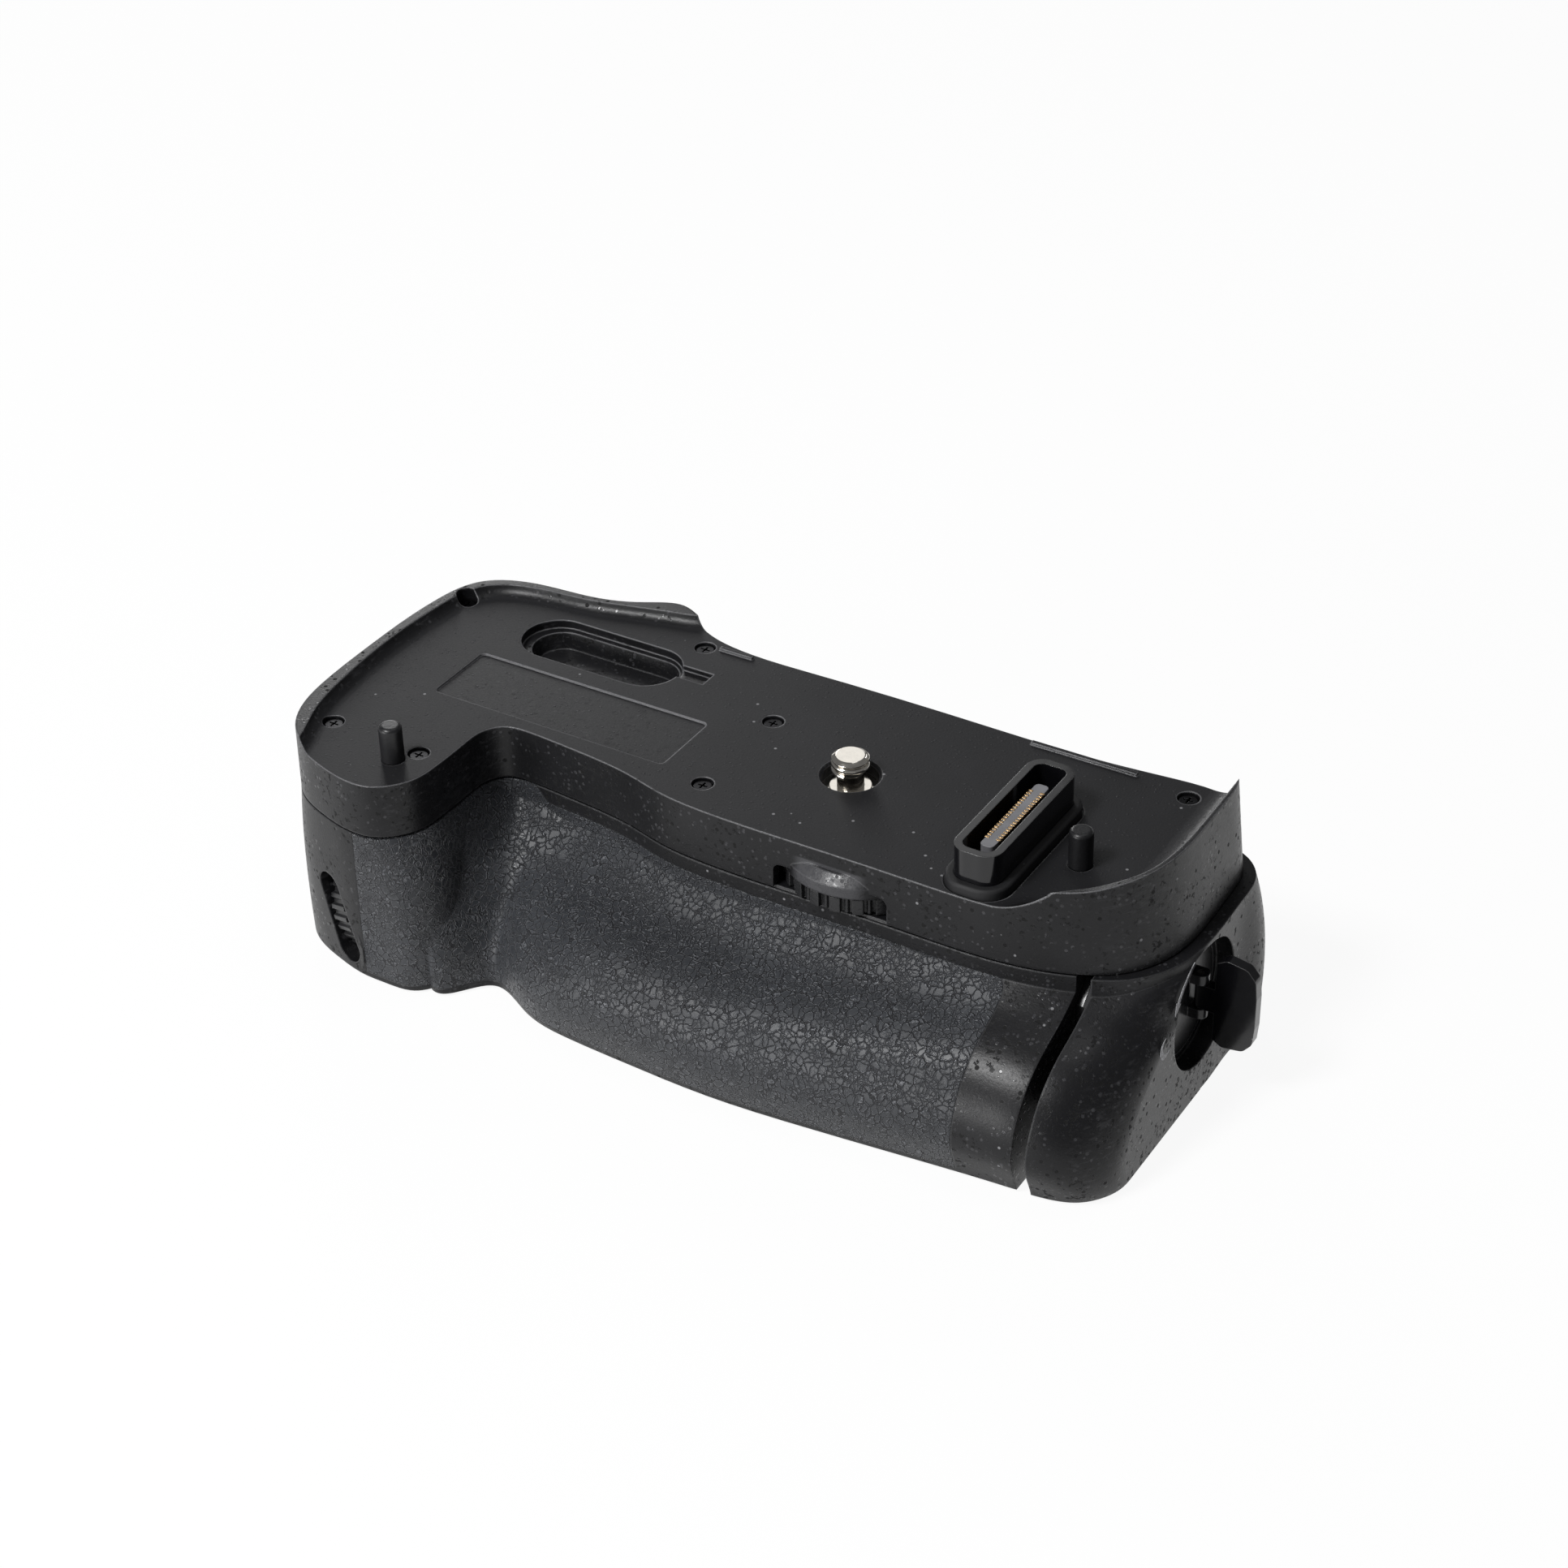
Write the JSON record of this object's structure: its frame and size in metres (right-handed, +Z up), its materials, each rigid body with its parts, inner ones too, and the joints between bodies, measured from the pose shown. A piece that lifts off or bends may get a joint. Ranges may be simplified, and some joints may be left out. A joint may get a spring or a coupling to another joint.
{
  "type": "camera battery grip",
  "caption": "Battery grip that screws under a camera body, with a rubber-covered hand grip, a slide-out battery tray with a turn latch, control dials and a wheel-driven mounting screw.",
  "frame": {"origin": "on the mounting screw's axis, level with the flat plate that meets the camera's base", "axes": "+Z up out of the plate along the screw, +X towards the battery tray's cap, -Y towards the hand grip"},
  "size_m": [0.1649, 0.075, 0.0462],
  "materials": {
    "housing": "fine moulded stipple, matte black",
    "grip_rubber": "leather grain, satin",
    "black_screws": "black oxide",
    "black_pins": "satin black",
    "gloss_black": "polished",
    "seal_rubber": "smooth soft rubber",
    "inner_plastic": "plain moulded",
    "gold_contacts": "gold plated",
    "polished_steel": "nickel plated",
    "gear_brass": "machined",
    "wheel_black": "ribbed, matte",
    "dial_black": "ribbed, matte",
    "board_green": "coated circuit board",
    "battery_case": "smooth, dark grey",
    "latch_black": "satin black"
  },
  "bodies": {
    "housing": {"top_shell": "housing", "lower_shell": "housing", "rubber_grip": "grip_rubber", "thumb_rubber": "grip_rubber", "case_screws": "black_screws", "locating_pins": "black_pins", "connector_shroud": "gloss_black", "connector_seal": "seal_rubber", "connector_tongue": "inner_plastic", "connector_contacts": "gold_contacts", "screw_retainer": "polished_steel", "retainer_screws": "polished_steel", "wheel_axle": "polished_steel", "front_dial_axle": "polished_steel", "rear_dial_axle": "polished_steel", "shutter_switch": "inner_plastic", "shutter_collar": "dial_black", "function_switch": "inner_plastic", "focus_switch": "inner_plastic", "pad_bezel": "dial_black", "gimbal_seat": "inner_plastic", "main_board": "board_green", "contact_block": "inner_plastic", "chamber_contacts": "gold_contacts", "tripod_socket": "polished_steel"},
    "camera_screw_set": {"mount_screw": "polished_steel", "screw_gear": "gear_brass"},
    "wheel": {"attachment_wheel": "wheel_black"},
    "front_command_dial": {"front_dial": "dial_black"},
    "rear_command_dial": {"rear_dial": "dial_black"},
    "shutter": {"shutter_button": "gloss_black"},
    "shutter_lock": {"lock_ring": "dial_black"},
    "function_key": {"function_button": "gloss_black"},
    "focus_key": {"focus_button": "gloss_black"},
    "pad_gimbal": {"gimbal": "inner_plastic"},
    "pad_stem": {"pad_stick": "inner_plastic"},
    "pad": {"pad_cap": "seal_rubber"},
    "tray": {"tray_cap": "housing", "tray_frame": "inner_plastic", "tray_seal": "seal_rubber", "tray_contacts": "gold_contacts", "battery_pack": "battery_case"},
    "latch": {"latch_barrel": "latch_black", "latch_arm": "polished_steel", "wing_pin": "polished_steel"},
    "wing": {"latch_wing": "gloss_black"}
  },
  "joints": [
    {"name": "wheel_turn", "type": "hinge", "parent": "housing", "child": "wheel", "pos_m": [0.0082, -0.00943, -0.008], "axis": [0, 0, 1], "continuous": true},
    {"name": "screw_turn", "type": "hinge", "parent": "housing", "child": "camera_screw_set", "pos_m": [0, 0, 0], "axis": [0, 0, 1], "continuous": true},
    {"name": "front_dial_turn", "type": "hinge", "parent": "housing", "child": "front_command_dial", "pos_m": [-0.07169, -0.03151, -0.0296], "axis": [0.883, -0.3214, 0.342], "continuous": true},
    {"name": "rear_dial_turn", "type": "hinge", "parent": "housing", "child": "rear_command_dial", "pos_m": [-0.0765, 0.0177, -0.0245], "axis": [1, 0, 0], "continuous": true},
    {"name": "shutter_press", "type": "slide", "parent": "housing", "child": "shutter", "axis": [0.9659, 0.2588, 0], "range_m": [0, 0.0013], "stiffness_N_per_m": 700, "springref_m": -0.001},
    {"name": "lock_ring_turn", "type": "hinge", "parent": "housing", "child": "shutter_lock", "pos_m": [-0.0894, -0.009, -0.0255], "axis": [-0.9659, -0.2588, 0], "range_deg": [0, 45]},
    {"name": "function_press", "type": "slide", "parent": "housing", "child": "function_key", "axis": [1, 0, 0], "range_m": [0, 0.0008], "stiffness_N_per_m": 700, "springref_m": -0.001},
    {"name": "focus_press", "type": "slide", "parent": "housing", "child": "focus_key", "axis": [0, -1, 0], "range_m": [0, 0.0008], "stiffness_N_per_m": 700, "springref_m": -0.001},
    {"name": "pad_tilt_up_down", "type": "hinge", "parent": "housing", "child": "pad_gimbal", "pos_m": [-0.0295, 0.02235, -0.02], "axis": [1, 0, 0], "range_deg": [-8, 8], "stiffness_Nm_per_rad": 0.05},
    {"name": "pad_tilt_side", "type": "hinge", "parent": "pad_gimbal", "child": "pad_stem", "pos_m": [-0.0295, 0.02235, -0.02], "axis": [0, 0, 1], "range_deg": [-8, 8], "stiffness_Nm_per_rad": 0.05},
    {"name": "pad_press", "type": "slide", "parent": "pad_stem", "child": "pad", "axis": [0, -1, 0], "range_m": [0, 0.0005], "stiffness_N_per_m": 700, "springref_m": -0.001},
    {"name": "tray_slide", "type": "slide", "parent": "housing", "child": "tray", "axis": [1, 0, 0], "range_m": [-0.00215, 0.1]},
    {"name": "latch_turn", "type": "hinge", "parent": "tray", "child": "latch", "pos_m": [0.0602, -0.0003, -0.0216], "axis": [-1, 0, 0], "range_deg": [0, 90]},
    {"name": "wing_fold", "type": "hinge", "parent": "latch", "child": "wing", "pos_m": [0.06161, 0.0018, -0.0216], "axis": [0, 0, -1], "range_deg": [0, 88]}
  ],
  "couplings": [
    {"joint": "screw_turn", "follows": "wheel_turn", "ratio": -1.9412}
  ]
}
